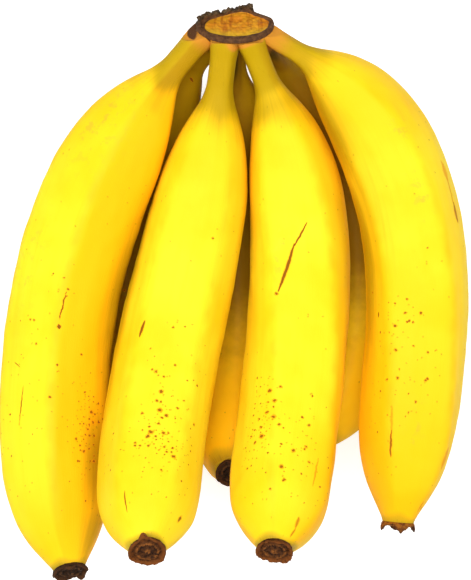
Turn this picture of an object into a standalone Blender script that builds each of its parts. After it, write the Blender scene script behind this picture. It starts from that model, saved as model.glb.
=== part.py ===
"""A hand of bananas lying on its outer row: a cut crown and seven fruits in two rows, each fruit
with its neck and its dried blossom end.

Metres, +Z up. The crown is at +Y and the fruits run along -Y. The floor is z = 0, and the three
fruits of the outer row rest on it by small flattened spots on their bellies.
"""

import math
from collections import namedtuple

import bmesh
import bpy
import numpy as np

# Each fruit is a bent, swelling tube. root is where its centreline meets the crown. yaw (degrees
# from -Y towards +X) and lift (degrees above the floor) are its headings at the neck, half way
# along and at the blossom end. length is along the curve, neck and girth are the radii of the
# neck and of the body, shoulder and taper are the lengths over which it swells after the neck and
# rounds off at the blossom end. ridge turns the five ridges, and twist turns them further on the
# way to the blossom end (degrees).
Fruit = namedtuple("Fruit", "name root yaw lift length neck girth shoulder taper ridge twist")

INNER_ROW = [
    Fruit("banana_inner_1", (-0.0116, 0.0920, 0.0686), (-41.5, -9.7, 12.8), (-11.5, -4, 27),
          0.2080, 0.0048, 0.0194, 0.0193, 0.0145, 2, -3),
    Fruit("banana_inner_2", (-0.0034, 0.0886, 0.0730), (-7.5, -11.6, 5), (-18.5, 10.5, 50),
          0.1915, 0.0046, 0.0184, 0.0220, 0.0112, 36, 0),
    Fruit("banana_inner_3", (0.0054, 0.0897, 0.0727), (22.6, -3.2, -6.8), (-21.5, 7, 42),
          0.1915, 0.0045, 0.0181, 0.0203, 0.0092, 15, 46),
    Fruit("banana_inner_4", (0.0097, 0.0934, 0.0697), (59.6, 4.2, -4.8), (-10, -2.5, 2),
          0.1978, 0.0038, 0.0182, 0.0180, 0.0165, 10, 42),
]
OUTER_ROW = [
    Fruit("banana_outer_1", (-0.0074, 0.0917, 0.0632), (-43, -4.5, 13), (-50, -3.4, 34),
          0.1780, 0.0045, 0.0167, 0.0205, 0.0130, 0, 0),
    Fruit("banana_outer_2", (-0.0009, 0.0921, 0.0684), (2, 0, -5), (-47, -5.5, 66),
          0.1880, 0.0045, 0.0168, 0.0195, 0.0130, 0, 0),
    Fruit("banana_outer_3", (0.0077, 0.0924, 0.0639), (43, 8, -32), (-48, -5.0, 36),
          0.1790, 0.0045, 0.0168, 0.0185, 0.0130, 0, 0),
]
FRUITS = INNER_ROW + OUTER_ROW

NECK_LENGTH = 0.0180  # straight and slim, before the body swells
END_RADIUS = 0.0058  # where the blossom end sits
RIDGE_HEIGHT = 0.038
RIDGE_CREST = 0.009
PATH_STEPS = 400
FRUIT_SIDES = 25
FRUIT_RINGS = 30

# The crown is an oval pad, whose cut face is tilted up and towards +Y, with a stub for each neck.
CUT_CENTRE = (0.0000, 0.0957, 0.0697)
CUT_TILT = 44  # degrees from straight up, towards +Y
CUT_HALF_WIDTH = 0.0122
CUT_HALF_DEPTH = 0.0066
CUT_SKEW = 0.35  # how far the oval's far edge leans towards +X, as a share of its depth
CUT_CORNERS = 0.20  # how much the oval's two far corners are flattened, as a share of its size
PAD_THICKNESS = 0.0036
NEAR_LIP = 0.0006  # height of the dried rim over the cut face, along the near edge
FAR_LIP = 0.0034
FAR_LIP_MIDDLE = 132  # degrees round the oval from +X, and half the width of the high stretch
FAR_LIP_SPREAD = 88
CROWN_SIDES = 36
STUB_INSIDE = 0.0020  # how far a stub starts inside the pad
STUB_LENGTH = 0.0080  # from the root to where the fruit begins
STUB_START = 0.45  # radius of a stub inside the pad, as a share of the neck's
JOINT_GAP = 0.0003

BLOSSOM_SIDES = 15
BLOSSOM_LOBES = 0.07
# Distance past the fruit's end and radius, from the seat over the rim to the hollow middle.
BLOSSOM_PROFILE = (
    (0.0003, 0.0056),
    (0.0011, 0.0064),
    (0.0020, 0.0063),
    (0.0022, 0.0056),
    (0.0013, 0.0038),
    (0.0020, 0.0012),
)

PEEL = (0.93, 0.72, 0.05)
STALK = (0.36, 0.20, 0.07)
DRIED = (0.13, 0.07, 0.03)


def blend_of_three(first, middle, last, share):
    """The parabola through first at 0, middle at 0.5 and last at 1."""
    return (
        first * (1 - share) * (1 - 2 * share)
        + 4 * middle * share * (1 - share)
        + last * share * (2 * share - 1)
    )


def centreline(fruit, stations):
    """Points and unit headings at these distances from the root. The heading holds through the
    neck, then follows a parabola in yaw and in lift, and the points are its running sum."""
    along = np.linspace(min(0.0, stations[0]), fruit.length, PATH_STEPS)
    share = np.clip((along - NECK_LENGTH) / (fruit.length - NECK_LENGTH), 0, 1)
    yaw = np.radians(blend_of_three(*fruit.yaw, share))
    lift = np.radians(blend_of_three(*fruit.lift, share))
    heading = np.stack(
        [np.sin(yaw) * np.cos(lift), -np.cos(yaw) * np.cos(lift), np.sin(lift)], axis=1
    )
    step = along[1] - along[0]
    moved = np.vstack([np.zeros(3), np.cumsum((heading[1:] + heading[:-1]) / 2 * step, axis=0)])
    moved -= [np.interp(0.0, along, moved[:, axis]) for axis in range(3)]
    points = np.stack([np.interp(stations, along, moved[:, axis]) for axis in range(3)], axis=1)
    tangents = np.stack([np.interp(stations, along, heading[:, axis]) for axis in range(3)], axis=1)
    return points + fruit.root, tangents / np.linalg.norm(tangents, axis=1, keepdims=True)


def swell(fruit, stations):
    """Radius at each station: the neck, an exponential shoulder and a rounded fall to the end."""
    rise = 1 - np.exp(-((np.clip(stations - NECK_LENGTH, 0, None) / fruit.shoulder) ** 1.2))
    fall = np.exp(-((np.clip(fruit.length - stations, 0, None) / fruit.taper) ** 1.3))
    return fruit.neck + (fruit.girth - fruit.neck) * rise - (fruit.girth - END_RADIUS) * fall


def cross_axes(tangents):
    """Two unit directions across each heading: the one nearest to +Z, and the one to its right."""
    up = np.array([0.0, 0.0, 1.0]) - tangents[:, 2:3] * tangents
    up /= np.linalg.norm(up, axis=1, keepdims=True)
    return up, np.cross(up, tangents)


def tube_rings(fruit, stations, radii, sides, ridges):
    """Rings of points round the centreline. The radius carries five soft ridges where the body
    is full, and the points that would pass the floor are pressed flat onto it."""
    points, tangents = centreline(fruit, stations)
    up, right = cross_axes(tangents)
    from_ridge = np.linspace(0, 2 * math.pi, sides, endpoint=False)
    angle = from_ridge + np.radians(fruit.ridge + fruit.twist * stations / fruit.length)[:, None]
    relief = RIDGE_HEIGHT * np.cos(5 * from_ridge) + RIDGE_CREST * np.cos(10 * from_ridge)
    around = radii[:, None] * (1 + ridges[:, None] * relief)
    rings = (
        points[:, None]
        + (around * np.cos(angle))[..., None] * up[:, None]
        + (around * np.sin(angle))[..., None] * right[:, None]
    )
    rings[..., 2] = np.maximum(rings[..., 2], 0)
    return rings


def fullness(fruit, radii):
    """0 at the neck and the end, 1 where the body has its full girth."""
    return np.clip((radii - fruit.neck) / (fruit.girth - fruit.neck), 0, 1)


def closed_loft(name, rings, collection, material):
    """One closed mesh through the rings, with both end rings filled, and its faces outwards."""
    count, sides = rings.shape[:2]
    mesh = bpy.data.meshes.new(name)
    faces = [
        (
            ring * sides + side,
            ring * sides + (side + 1) % sides,
            (ring + 1) * sides + (side + 1) % sides,
            (ring + 1) * sides + side,
        )
        for ring in range(count - 1)
        for side in range(sides)
    ]
    faces.append(tuple(range(sides)))
    faces.append(tuple(range((count - 1) * sides, count * sides)))
    mesh.from_pydata(rings.reshape(-1, 3).tolist(), [], faces)
    shape = bmesh.new()
    shape.from_mesh(mesh)
    bmesh.ops.recalc_face_normals(shape, faces=shape.faces)
    shape.to_mesh(mesh)
    shape.free()
    mesh.shade_smooth()
    mesh.set_sharp_from_angle(angle=math.radians(50))
    mesh.materials.append(material)
    made = bpy.data.objects.new(name, mesh)
    collection.objects.link(made)
    return made


def finish(name, colour, roughness):
    material = bpy.data.materials.new(name)
    material.use_nodes = True
    shader = material.node_tree.nodes["Principled BSDF"]
    shader.inputs["Base Color"].default_value = (*colour, 1)
    shader.inputs["Roughness"].default_value = roughness
    shader.inputs["Metallic"].default_value = 0
    return material


def add_fruit(fruit, collection, material):
    """The neck and body. Rings lie closer together at the shoulder and at the blossom end."""
    share = np.linspace(0, 1, FRUIT_RINGS)
    eased = share - 0.09 * np.sin(2 * math.pi * share)
    start = STUB_LENGTH + JOINT_GAP
    stations = start + (fruit.length - start) * eased
    radii = swell(fruit, stations)
    rings = tube_rings(fruit, stations, radii, FRUIT_SIDES, fullness(fruit, radii))
    return closed_loft(fruit.name, rings, collection, material)


def add_blossom_end(fruit, collection, material):
    """The dried flower remnant: a lobed cup, turned about the heading at the fruit's end."""
    point, tangent = centreline(fruit, np.array([fruit.length]))
    up, right = cross_axes(tangent)
    angle = np.linspace(0, 2 * math.pi, BLOSSOM_SIDES, endpoint=False)
    lobes = 1 + BLOSSOM_LOBES * np.cos(3 * angle) + BLOSSOM_LOBES / 2 * np.cos(5 * angle + 1)
    spokes = np.cos(angle)[:, None] * up + np.sin(angle)[:, None] * right
    rings = np.array(
        [point + out * tangent + radius * lobes[:, None] * spokes for out, radius in BLOSSOM_PROFILE]
    )
    name = fruit.name.replace("banana", "blossom_end")
    return closed_loft(name, rings, collection, material)


def pad_rings():
    """Rings of the crown's pad, from inside the cut face over the rim, down the side and under.
    The rim is low along the near edge and stands up in a ragged lip along the far one."""
    angle = np.linspace(0, 2 * math.pi, CROWN_SIDES, endpoint=False)
    tilt = math.radians(CUT_TILT)
    across = np.array([1.0, 0.0, 0.0])
    far = np.array([0.0, math.cos(tilt), -math.sin(tilt)])
    out = np.array([0.0, math.sin(tilt), math.cos(tilt)])
    beyond = np.clip(np.sin(angle), 0, None)
    size = 1 - CUT_CORNERS * beyond * np.sin(2 * angle) ** 2
    width = CUT_HALF_WIDTH * size * np.cos(angle) + CUT_SKEW * CUT_HALF_DEPTH * beyond
    depth = CUT_HALF_DEPTH * size * np.sin(angle)
    oval = width[:, None] * across + depth[:, None] * far
    edge = math.cos(math.radians(FAR_LIP_SPREAD))
    facing = np.cos(angle - math.radians(FAR_LIP_MIDDLE))
    far_side = np.clip((facing - edge) / (1 - edge), 0, 1) ** 0.4
    ragged = 1 + 0.14 * np.sin(7 * angle) + 0.10 * np.sin(11 * angle + 2)
    rim = NEAR_LIP + (FAR_LIP - NEAR_LIP) * far_side * ragged
    flat = np.zeros_like(angle)
    sweep = [
        (0.35, flat - 0.0004),
        (0.85, flat - 0.0002),
        (1.00, flat + 0.0002),
        (1.06, rim),
        (1.14, rim * 0.9),
        (1.15, flat - 0.0012),
        (1.00, flat - PAD_THICKNESS),
        (0.50, flat - PAD_THICKNESS - 0.0010),
    ]
    centre = np.array(CUT_CENTRE)
    return np.array([centre + grow * oval + height[:, None] * out for grow, height in sweep])


def add_crown(collection, material):
    """The pad and the seven neck stubs, joined in one body."""
    crown = closed_loft("crown", pad_rings(), collection, material)
    stations = np.linspace(-STUB_INSIDE, STUB_LENGTH, 6)
    tucked = np.clip((stations + STUB_INSIDE) / (2 * STUB_INSIDE), 0, 1) ** 0.6
    stubs = bpy.data.collections.new("crown stubs")
    for fruit in FRUITS:
        radii = swell(fruit, stations) * (STUB_START + (1 - STUB_START) * tucked)
        rings = tube_rings(fruit, stations, radii, FRUIT_SIDES, np.zeros(len(stations)))
        closed_loft(fruit.name + " stub", rings, stubs, material)
    union = crown.modifiers.new("stubs", "BOOLEAN")
    union.operation = "UNION"
    union.operand_type = "COLLECTION"
    union.collection = stubs
    graph = bpy.context.evaluated_depsgraph_get()
    joined = bpy.data.meshes.new_from_object(crown.evaluated_get(graph))
    crown.modifiers.remove(union)
    crown.data = joined
    for stub in list(stubs.objects):
        bpy.data.objects.remove(stub)
    bpy.data.collections.remove(stubs)
    return crown


def main():
    for thing in list(bpy.data.objects):
        bpy.data.objects.remove(thing)
    hand = bpy.data.collections.new("hand of bananas")
    bpy.context.scene.collection.children.link(hand)
    peel = finish("peel", PEEL, 0.42)
    stalk = finish("crown", STALK, 0.8)
    dried = finish("blossom end", DRIED, 0.85)
    add_crown(hand, stalk)
    for fruit in FRUITS:
        add_fruit(fruit, hand, peel)
        add_blossom_end(fruit, hand, dried)


main()
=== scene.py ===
"""The looks of a hand of bananas that lies on its outer row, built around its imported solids.

Metres, +Z up. The crown is at +Y, the fruits run along -Y, and the camera looks straight down.
Every piece is a surface worked out on a grid, and its place is in its mesh.
"""

import math
from collections import namedtuple

import bpy
import numpy as np
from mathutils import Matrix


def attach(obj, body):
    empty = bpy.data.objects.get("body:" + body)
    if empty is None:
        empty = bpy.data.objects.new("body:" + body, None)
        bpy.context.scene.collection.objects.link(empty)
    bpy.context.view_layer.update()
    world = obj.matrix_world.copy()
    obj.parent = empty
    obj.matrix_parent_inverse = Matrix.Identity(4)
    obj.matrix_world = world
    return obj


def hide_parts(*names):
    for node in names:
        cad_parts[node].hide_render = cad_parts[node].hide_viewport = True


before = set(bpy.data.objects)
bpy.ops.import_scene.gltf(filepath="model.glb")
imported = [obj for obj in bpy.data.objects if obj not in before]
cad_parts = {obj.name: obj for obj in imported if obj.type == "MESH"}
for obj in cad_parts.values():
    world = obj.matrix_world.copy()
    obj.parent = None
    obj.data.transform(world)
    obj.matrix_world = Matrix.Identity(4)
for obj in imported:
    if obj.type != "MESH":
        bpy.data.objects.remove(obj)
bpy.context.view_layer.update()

# Each fruit is a bent, swelling tube. root is where its centreline meets the crown. yaw (degrees
# from -Y towards +X) and lift (degrees above the floor) are its headings at the neck, half way
# along and at the blossom end. length is along the curve, neck and girth are the radii of the
# neck and of the body, shoulder and taper are the lengths over which it swells after the neck and
# rounds off at the blossom end. ridge turns the five ridges, and twist turns them further on the
# way to the blossom end (degrees).
Fruit = namedtuple("Fruit", "name root yaw lift length neck girth shoulder taper ridge twist")

FRUITS = [
    Fruit("inner_1", (-0.0116, 0.0920, 0.0686), (-41.5, -9.7, 12.8), (-11.5, -4, 27),
          0.2080, 0.0048, 0.0194, 0.0193, 0.0145, 2, -3),
    Fruit("inner_2", (-0.0034, 0.0886, 0.0730), (-7.5, -11.6, 5), (-18.5, 10.5, 50),
          0.1915, 0.0046, 0.0184, 0.0220, 0.0112, 36, 0),
    Fruit("inner_3", (0.0054, 0.0897, 0.0727), (22.6, -3.2, -6.8), (-21.5, 7, 42),
          0.1915, 0.0045, 0.0181, 0.0203, 0.0092, 15, 46),
    Fruit("inner_4", (0.0097, 0.0934, 0.0697), (59.6, 4.2, -4.8), (-10, -2.5, 2),
          0.1978, 0.0038, 0.0182, 0.0180, 0.0165, 10, 42),
    Fruit("outer_1", (-0.0074, 0.0917, 0.0632), (-43, -4.5, 13), (-50, -3.4, 34),
          0.1780, 0.0045, 0.0167, 0.0205, 0.0130, 0, 0),
    Fruit("outer_2", (-0.0009, 0.0921, 0.0684), (2, 0, -5), (-47, -5.5, 66),
          0.1880, 0.0045, 0.0168, 0.0195, 0.0130, 0, 0),
    Fruit("outer_3", (0.0077, 0.0924, 0.0639), (43, 8, -32), (-48, -5.0, 36),
          0.1790, 0.0045, 0.0168, 0.0185, 0.0130, 0, 0),
]

NECK_LENGTH = 0.0180
END_RADIUS = 0.0058
SHOULDER_BLEND = 0.0045
RIDGE_WAVES = (0.042, 0.010, 0.003)  # heights of the 5, 10 and 15 waves round the body
RIDGE_SINK = 0.006  # how far the section is drawn in to make room for the ridges
NECK_WAVES = (0.030, 0.022)  # of the 4 and 5 waves that make the neck angular
NECK_FLARE = 0.0006  # how much wider the neck is where it leaves the crown
FLARE_LENGTH = 0.004
CREST_WIDTH = 0.10  # how wide a ridge's crest counts as worn, in the share 1 - cosine
ROOT_START = -0.0025  # the peel starts this far before the root, inside the crown
PATH_STEPS = 600
PEEL_SIDES = 160
PEEL_RINGS = 300
RING_CROWDING = 0.085  # how much closer the rings stand at both ends than half way
# Sizes of the flat rings that close the peel inside the crown and under its blossom end.
ROOT_CAP = (0.02, 0.4, 0.8)
SEAT_CAP = np.linspace(0.92, 0.02, 8)
DENTS = ((0.00013, 0.022, 0), (0.00005, 0.007, 20))  # height (m), size (m) and seed

CUT_CENTRE = np.array([0.0000, 0.0957, 0.0697])
CUT_TILT = math.radians(44)
CUT_HALF_WIDTH = 0.0122
CUT_HALF_DEPTH = 0.0066
CUT_SKEW = 0.35
CUT_CORNERS = 0.20
CUT_ACROSS = np.array([1.0, 0.0, 0.0])
CUT_FAR = np.array([0.0, math.cos(CUT_TILT), -math.sin(CUT_TILT)])
CUT_OUT = np.array([0.0, math.sin(CUT_TILT), math.cos(CUT_TILT)])
PAD_THICKNESS = 0.0036
NEAR_LIP = 0.0005
# The limit that presses the neck roots down: its depth below the plane of the cut, how far it
# rises again past the pad's edge, between which sizes of the oval, and its slope past the left end.
TUCK_DEPTH = 0.0010
TUCK_RISE = 0.0060
TUCK_EDGE = (1.45, 2.3)
TUCK_SLOPE = 0.5
# The dark corner of a root that passes the pad's left end: its strength, the distances past that
# end over which it starts, and the stations over which it fades (m).
DRY_CORNER = 0.5
DRY_CORNER_PAST = (0.0004, 0.0026)
DRY_CORNER_STATIONS = (0.0030, 0.0012)
# The torn lip on the far side: where it starts and ends round the oval from +X (degrees), its
# height, its two peaks as (place in degrees, width in degrees, height), the waves that tear it and
# how much they take off or add.
FAR_LIP_SPAN = (60, 198)
FAR_LIP = 0.0021
FAR_LIP_PEAKS = ((78, 9, 0.0019), (166, 22, 0.0009))
TORN_WAVES = (13, 19, 29, 41, 57, 73)
TORN_SHARE = 0.20
LEFT_END = (178, 26)  # place and width of the crown's left end (degrees)
# Ripples on the cut and on the torn crust: height (m), size (m) and seed.
CUT_HOLLOWS = ((0.00022, 0.0050, 90), (0.00009, 0.0014, 91))
CRUST_LUMPS = ((0.00036, 0.0032, 92), (0.00026, 0.0013, 93))
CRUST_SPREAD = ((0.00035, 0.0020, 94),)
CROWN_SIDES = 300
CROWN_RINGS = 150
# The crown's rings, out over the cut to its rim, down the wall and in under it: share of the way,
# size of the oval and distance moved outwards (m).
CROWN_STEPS = (0.00, 0.34, 0.50, 0.55, 0.60, 0.66, 0.72, 0.80, 0.88, 1.0)
CROWN_SIZES = (0.02, 0.70, 0.97, 1.00, 1.00, 1.00, 1.00, 1.00, 0.60, 0.02)
CROWN_SPREADS = (0.0, 0.0, 0.0, 0.0003, 0.0007, 0.0013, 0.0017, 0.0008, 0.0, 0.0)

BLOSSOM_SIDES = 120
BLOSSOM_RINGS = 66

RIPPLE_WAVES = 14
RIPPLE_GAIN = 8 / 7
MM = 0.001


def blend_of_three(first, middle, last, share):
    """The parabola through first at 0, middle at 0.5 and last at 1."""
    return (
        first * (1 - share) * (1 - 2 * share)
        + 4 * middle * share * (1 - share)
        + last * share * (2 * share - 1)
    )


def unit(vectors):
    """The vectors scaled to length 1."""
    return vectors / np.maximum(np.linalg.norm(vectors, axis=-1, keepdims=True), 1e-9)


def centreline(fruit, stations):
    """Points and unit headings at these distances from the root. The heading holds through the
    neck, then follows a parabola in yaw and in lift, and the points are its running sum."""
    along = np.linspace(min(0.0, stations[0]), fruit.length, PATH_STEPS)
    share = np.clip((along - NECK_LENGTH) / (fruit.length - NECK_LENGTH), 0, 1)
    yaw = np.radians(blend_of_three(*fruit.yaw, share))
    lift = np.radians(blend_of_three(*fruit.lift, share))
    heading = np.stack(
        [np.sin(yaw) * np.cos(lift), -np.cos(yaw) * np.cos(lift), np.sin(lift)], axis=1
    )
    step = along[1] - along[0]
    moved = np.vstack([np.zeros(3), np.cumsum((heading[1:] + heading[:-1]) / 2 * step, axis=0)])
    moved -= [np.interp(0.0, along, moved[:, axis]) for axis in range(3)]
    points = np.stack([np.interp(stations, along, moved[:, axis]) for axis in range(3)], axis=1)
    tangents = np.stack([np.interp(stations, along, heading[:, axis]) for axis in range(3)], axis=1)
    return points + fruit.root, unit(tangents)


def cross_axes(tangents):
    """Two unit directions across each heading: the one nearest to +Z, and the one to its right."""
    up = unit(np.array([0.0, 0.0, 1.0]) - tangents[:, 2:3] * tangents)
    return up, np.cross(up, tangents)


def swell(fruit, stations):
    """Radius at each station: the neck, an exponential shoulder and a rounded fall to the end. The
    shoulder is a mean over SHOULDER_BLEND, which eases its start."""
    near = stations[:, None] + SHOULDER_BLEND * np.linspace(-1, 1, 9) - NECK_LENGTH
    rise = (1 - np.exp(-((np.clip(near, 0, None) / fruit.shoulder) ** 1.2))).mean(axis=1)
    fall = np.exp(-((np.clip(fruit.length - stations, 0, None) / fruit.taper) ** 1.3))
    return fruit.neck + (fruit.girth - fruit.neck) * rise - (fruit.girth - END_RADIUS) * fall


def smooth_step(low, high, values):
    """0 below low, 1 above high, and a cubic ease between them. low may be the larger one."""
    share = np.clip((values - low) / (high - low), 0, 1)
    return share * share * (3 - 2 * share)


def bell(values, at, width):
    """A bell curve: 1 at this place, and the exponential of -1 at this width away from it."""
    return np.exp(-(((values - at) / width) ** 2))


def wrapped(angle):
    """The same angle, between -pi and pi."""
    return (angle + math.pi) % (2 * math.pi) - math.pi


def ripple(points, size, seed):
    """Smooth noise around 0, mostly between -1 and 1: a scaled sum of plane sine waves in seeded
    directions, with wavelengths from 0.7 to 1.4 times size."""
    draw = np.random.default_rng(seed)
    directions = unit(draw.normal(size=(RIPPLE_WAVES, 3)))
    lengths = size * draw.uniform(0.7, 1.4, RIPPLE_WAVES)
    phases = draw.uniform(0, 2 * math.pi, RIPPLE_WAVES)
    turns = points @ (directions / lengths[:, None]).T * 2 * math.pi + phases
    return np.sin(turns).sum(axis=-1) * RIPPLE_GAIN / math.sqrt(RIPPLE_WAVES)


def layered_ripples(points, layers):
    """The sum of ripples, each given by its height (m), its size (m) and its seed."""
    return sum(height * ripple(points, size, seed) for height, size, seed in layers)


def new_object(name, data):
    """An object with this data, put in the scene."""
    made = bpy.data.objects.new(name, data)
    bpy.context.scene.collection.objects.link(made)
    return made


def grid_mesh(name, grid, material, masks, skin=None):
    """A closed tube of quads through the rings of grid (ring, side, 3), with its first and last
    ring filled. masks holds numbers for each point, and skin gives the rows of the UV map."""
    rings, sides = grid.shape[:2]
    ring, side = np.meshgrid(np.arange(rings - 1), np.arange(sides), indexing="ij")
    following = (side + 1) % sides
    here, beyond = ring * sides, (ring + 1) * sides
    quads = [here + side, beyond + side, beyond + following, here + following]
    faces = np.stack(quads, axis=-1).reshape(-1, 4).tolist()
    mesh = bpy.data.meshes.new(name)
    faces.append(list(range(sides)))
    faces.append(list(range(rings * sides - 1, (rings - 1) * sides - 1, -1)))
    mesh.from_pydata(grid.reshape(-1, 3), [], faces)
    layer = mesh.uv_layers.new(name="skin")
    across = np.stack([side, side, side + 1, side + 1], axis=-1) / sides
    along = np.stack([ring, ring + 1, ring + 1, ring], axis=-1)
    rows = np.linspace(0, 1, rings) if skin is None else skin
    corners = np.stack([across, rows[along]], axis=-1).reshape(-1, 2)
    filled_ends = np.zeros((len(mesh.loops) - len(corners), 2))
    layer.data.foreach_set("uv", np.concatenate([corners, filled_ends]).astype(np.float32).ravel())
    for mask, values in masks.items():
        stored = mesh.attributes.new(mask, "FLOAT", "POINT")
        stored.data.foreach_set("value", values.astype(np.float32).ravel())
    mesh.shade_smooth()
    mesh.materials.append(material)
    return new_object(name, mesh)


def face_outwards(piece):
    """Turns the piece's faces outwards if its volume, summed over its faces, is negative."""
    mesh = piece.data
    mesh.calc_loop_triangles()
    places = np.empty(len(mesh.vertices) * 3)
    mesh.vertices.foreach_get("co", places)
    corners = np.empty(len(mesh.loop_triangles) * 3, dtype=np.int32)
    mesh.loop_triangles.foreach_get("vertices", corners)
    first, second, third = places.reshape(-1, 3)[corners.reshape(-1, 3)].transpose(1, 0, 2)
    if (first * np.cross(second, third)).sum() < 0:
        mesh.flip_normals()


# Shader helpers


def fill(tree, node, inputs):
    """Sets the node's inputs to values, or links them."""
    for key, value in inputs.items():
        if isinstance(value, bpy.types.NodeSocket):
            tree.links.new(value, node.inputs[key])
        else:
            node.inputs[key].default_value = value


def add(tree, kind, inputs=None, **settings):
    """Adds a node, applies its settings, and fills its inputs."""
    made = tree.nodes.new(kind)
    for name, value in settings.items():
        setattr(made, name, value)
    fill(tree, made, inputs or {})
    return made


def calculate(tree, operation, *values):
    return add(tree, "ShaderNodeMath", dict(enumerate(values)), operation=operation).outputs[0]


def product(tree, first, second):
    return calculate(tree, "MULTIPLY", first, second)


def vector(tree, operation, *values, output=0):
    made = add(tree, "ShaderNodeVectorMath", dict(enumerate(values)), operation=operation)
    return made.outputs[output]


def scaled(tree, value, factor):
    inputs = {0: value, "Scale": factor}
    return add(tree, "ShaderNodeVectorMath", inputs, operation="SCALE").outputs[0]


def ease(tree, value, low, high, top=1.0):
    """Map Range with a smooth step, from 0 at low to top at high."""
    inputs = {"Value": value, "From Min": low, "From Max": high, "To Max": top}
    return add(tree, "ShaderNodeMapRange", inputs, interpolation_type="SMOOTHSTEP").outputs[0]


def mix(tree, share, under, over):
    return add(tree, "ShaderNodeMix", {0: share, 6: under, 7: over}, data_type="RGBA").outputs[2]


def tinted(tree, colour, tint, mask, low, high, top=1.0):
    """The colour, turned to the tint by up to top as the mask goes from low to high."""
    return mix(tree, ease(tree, mask, low, high, top), colour, tint)


def noise(tree, where, scale, detail, roughness=0.5, output="Fac"):
    inputs = {"Vector": where, "Scale": scale, "Detail": detail, "Roughness": roughness}
    return add(tree, "ShaderNodeTexNoise", inputs).outputs[output]


def frayed(tree, mask, grain, amount):
    """The mask with its edges frayed: plus this amount of a noise's difference from its middle."""
    shift = calculate(tree, "MULTIPLY_ADD", grain, amount, -amount / 2)
    return calculate(tree, "ADD", mask, shift)


def bump(tree, height, distance, strength):
    inputs = {"Height": height, "Distance": distance, "Strength": strength}
    return add(tree, "ShaderNodeBump", inputs).outputs[0]


def cells(tree, where, scale):
    """Voronoi cells on the skin: the distance to the nearest centre, and two random numbers for
    each cell."""
    inputs = {"Vector": where, "Scale": scale}
    made = add(tree, "ShaderNodeTexVoronoi", inputs, voronoi_dimensions="2D")
    chance = add(tree, "ShaderNodeSeparateColor", {0: made.outputs["Color"]})
    return made.outputs["Distance"], chance.outputs[0], chance.outputs[1]


def attribute(tree, name):
    return add(tree, "ShaderNodeAttribute", attribute_name=name).outputs["Fac"]


def new_group(name, vectors, numbers, outputs):
    """A node group that is given these vectors and numbers, with the sockets that hold them and
    the sockets that its outputs are linked to."""
    group = bpy.data.node_groups.new(name, "ShaderNodeTree")
    for kind, names in (("Vector", vectors), ("Float", numbers)):
        for socket in names.split():
            group.interface.new_socket(socket, in_out="INPUT", socket_type="NodeSocket" + kind)
    for socket, kind in outputs.items():
        group.interface.new_socket(socket, in_out="OUTPUT", socket_type="NodeSocket" + kind)
    return group, group.nodes.new("NodeGroupInput").outputs, group.nodes.new("NodeGroupOutput").inputs


def place(tree, group, inputs):
    return add(tree, "ShaderNodeGroup", inputs, node_tree=group).outputs


def new_material(name):
    """A material, its node tree and its Principled shader."""
    material = bpy.data.materials.new(name)
    material.use_nodes = True
    return material, material.node_tree, material.node_tree.nodes["Principled BSDF"]


def places_in_mm(tree):
    return scaled(tree, add(tree, "ShaderNodeTexCoord").outputs["Object"], 1 / MM)


def make_scratch_group():
    """How deep a point of the skin lies in a scratch: 1 on the line from Start to End, fading out
    at Width and thinning towards both ends. Skin, Start and End are in mm round and along."""
    group, given, out = new_group("scratch", "Skin Start End", "Width Wobble", {"Depth": "Float"})
    shaken = noise(group, given["Skin"], 0.45, 2.0, output="Color")
    centred = vector(group, "SUBTRACT", shaken, (0.5, 0.5, 0.5))
    point = vector(group, "ADD", given["Skin"], scaled(group, centred, given["Wobble"]))
    from_start = vector(group, "SUBTRACT", point, given["Start"])
    line = vector(group, "SUBTRACT", given["End"], given["Start"])
    dot = vector(group, "DOT_PRODUCT", from_start, line, output="Value")
    whole = vector(group, "DOT_PRODUCT", line, line, output="Value")
    share = calculate(group, "DIVIDE", dot, calculate(group, "MAXIMUM", whole, 0.0001))
    share = add(group, "ShaderNodeClamp", {0: share}).outputs[0]
    gap = vector(group, "DISTANCE", from_start, scaled(group, line, share), output="Value")
    middle = product(group, share, calculate(group, "SUBTRACT", 1.0, share))
    swelling = calculate(group, "MULTIPLY_ADD", middle, 2.4, 0.4)
    width = product(group, given["Width"], swelling)
    reach = calculate(group, "DIVIDE", gap, width)
    group.links.new(ease(group, reach, 1.0, 0.25), out["Depth"])
    return group


def make_spot_group():
    """How deep a point of the skin lies in a round spot: 1 up to a quarter of Size from its middle,
    easing to 0 at one and a quarter, with a wavering edge. Skin and Centre are in mm round and
    along."""
    group, given, out = new_group("spot", "Skin Centre", "Size", {"Depth": "Float"})
    shaken = noise(group, given["Skin"], 1.4, 1.0, output="Color")
    shift = vector(group, "MULTIPLY_ADD", shaken, (1, 1, 0), (-0.5, -0.5, 0))
    point = vector(group, "ADD", given["Skin"], shift)
    gap = vector(group, "DISTANCE", point, given["Centre"], output="Value")
    reach = calculate(group, "DIVIDE", gap, given["Size"])
    group.links.new(ease(group, reach, 1.25, 0.25), out["Depth"])
    return group


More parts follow.
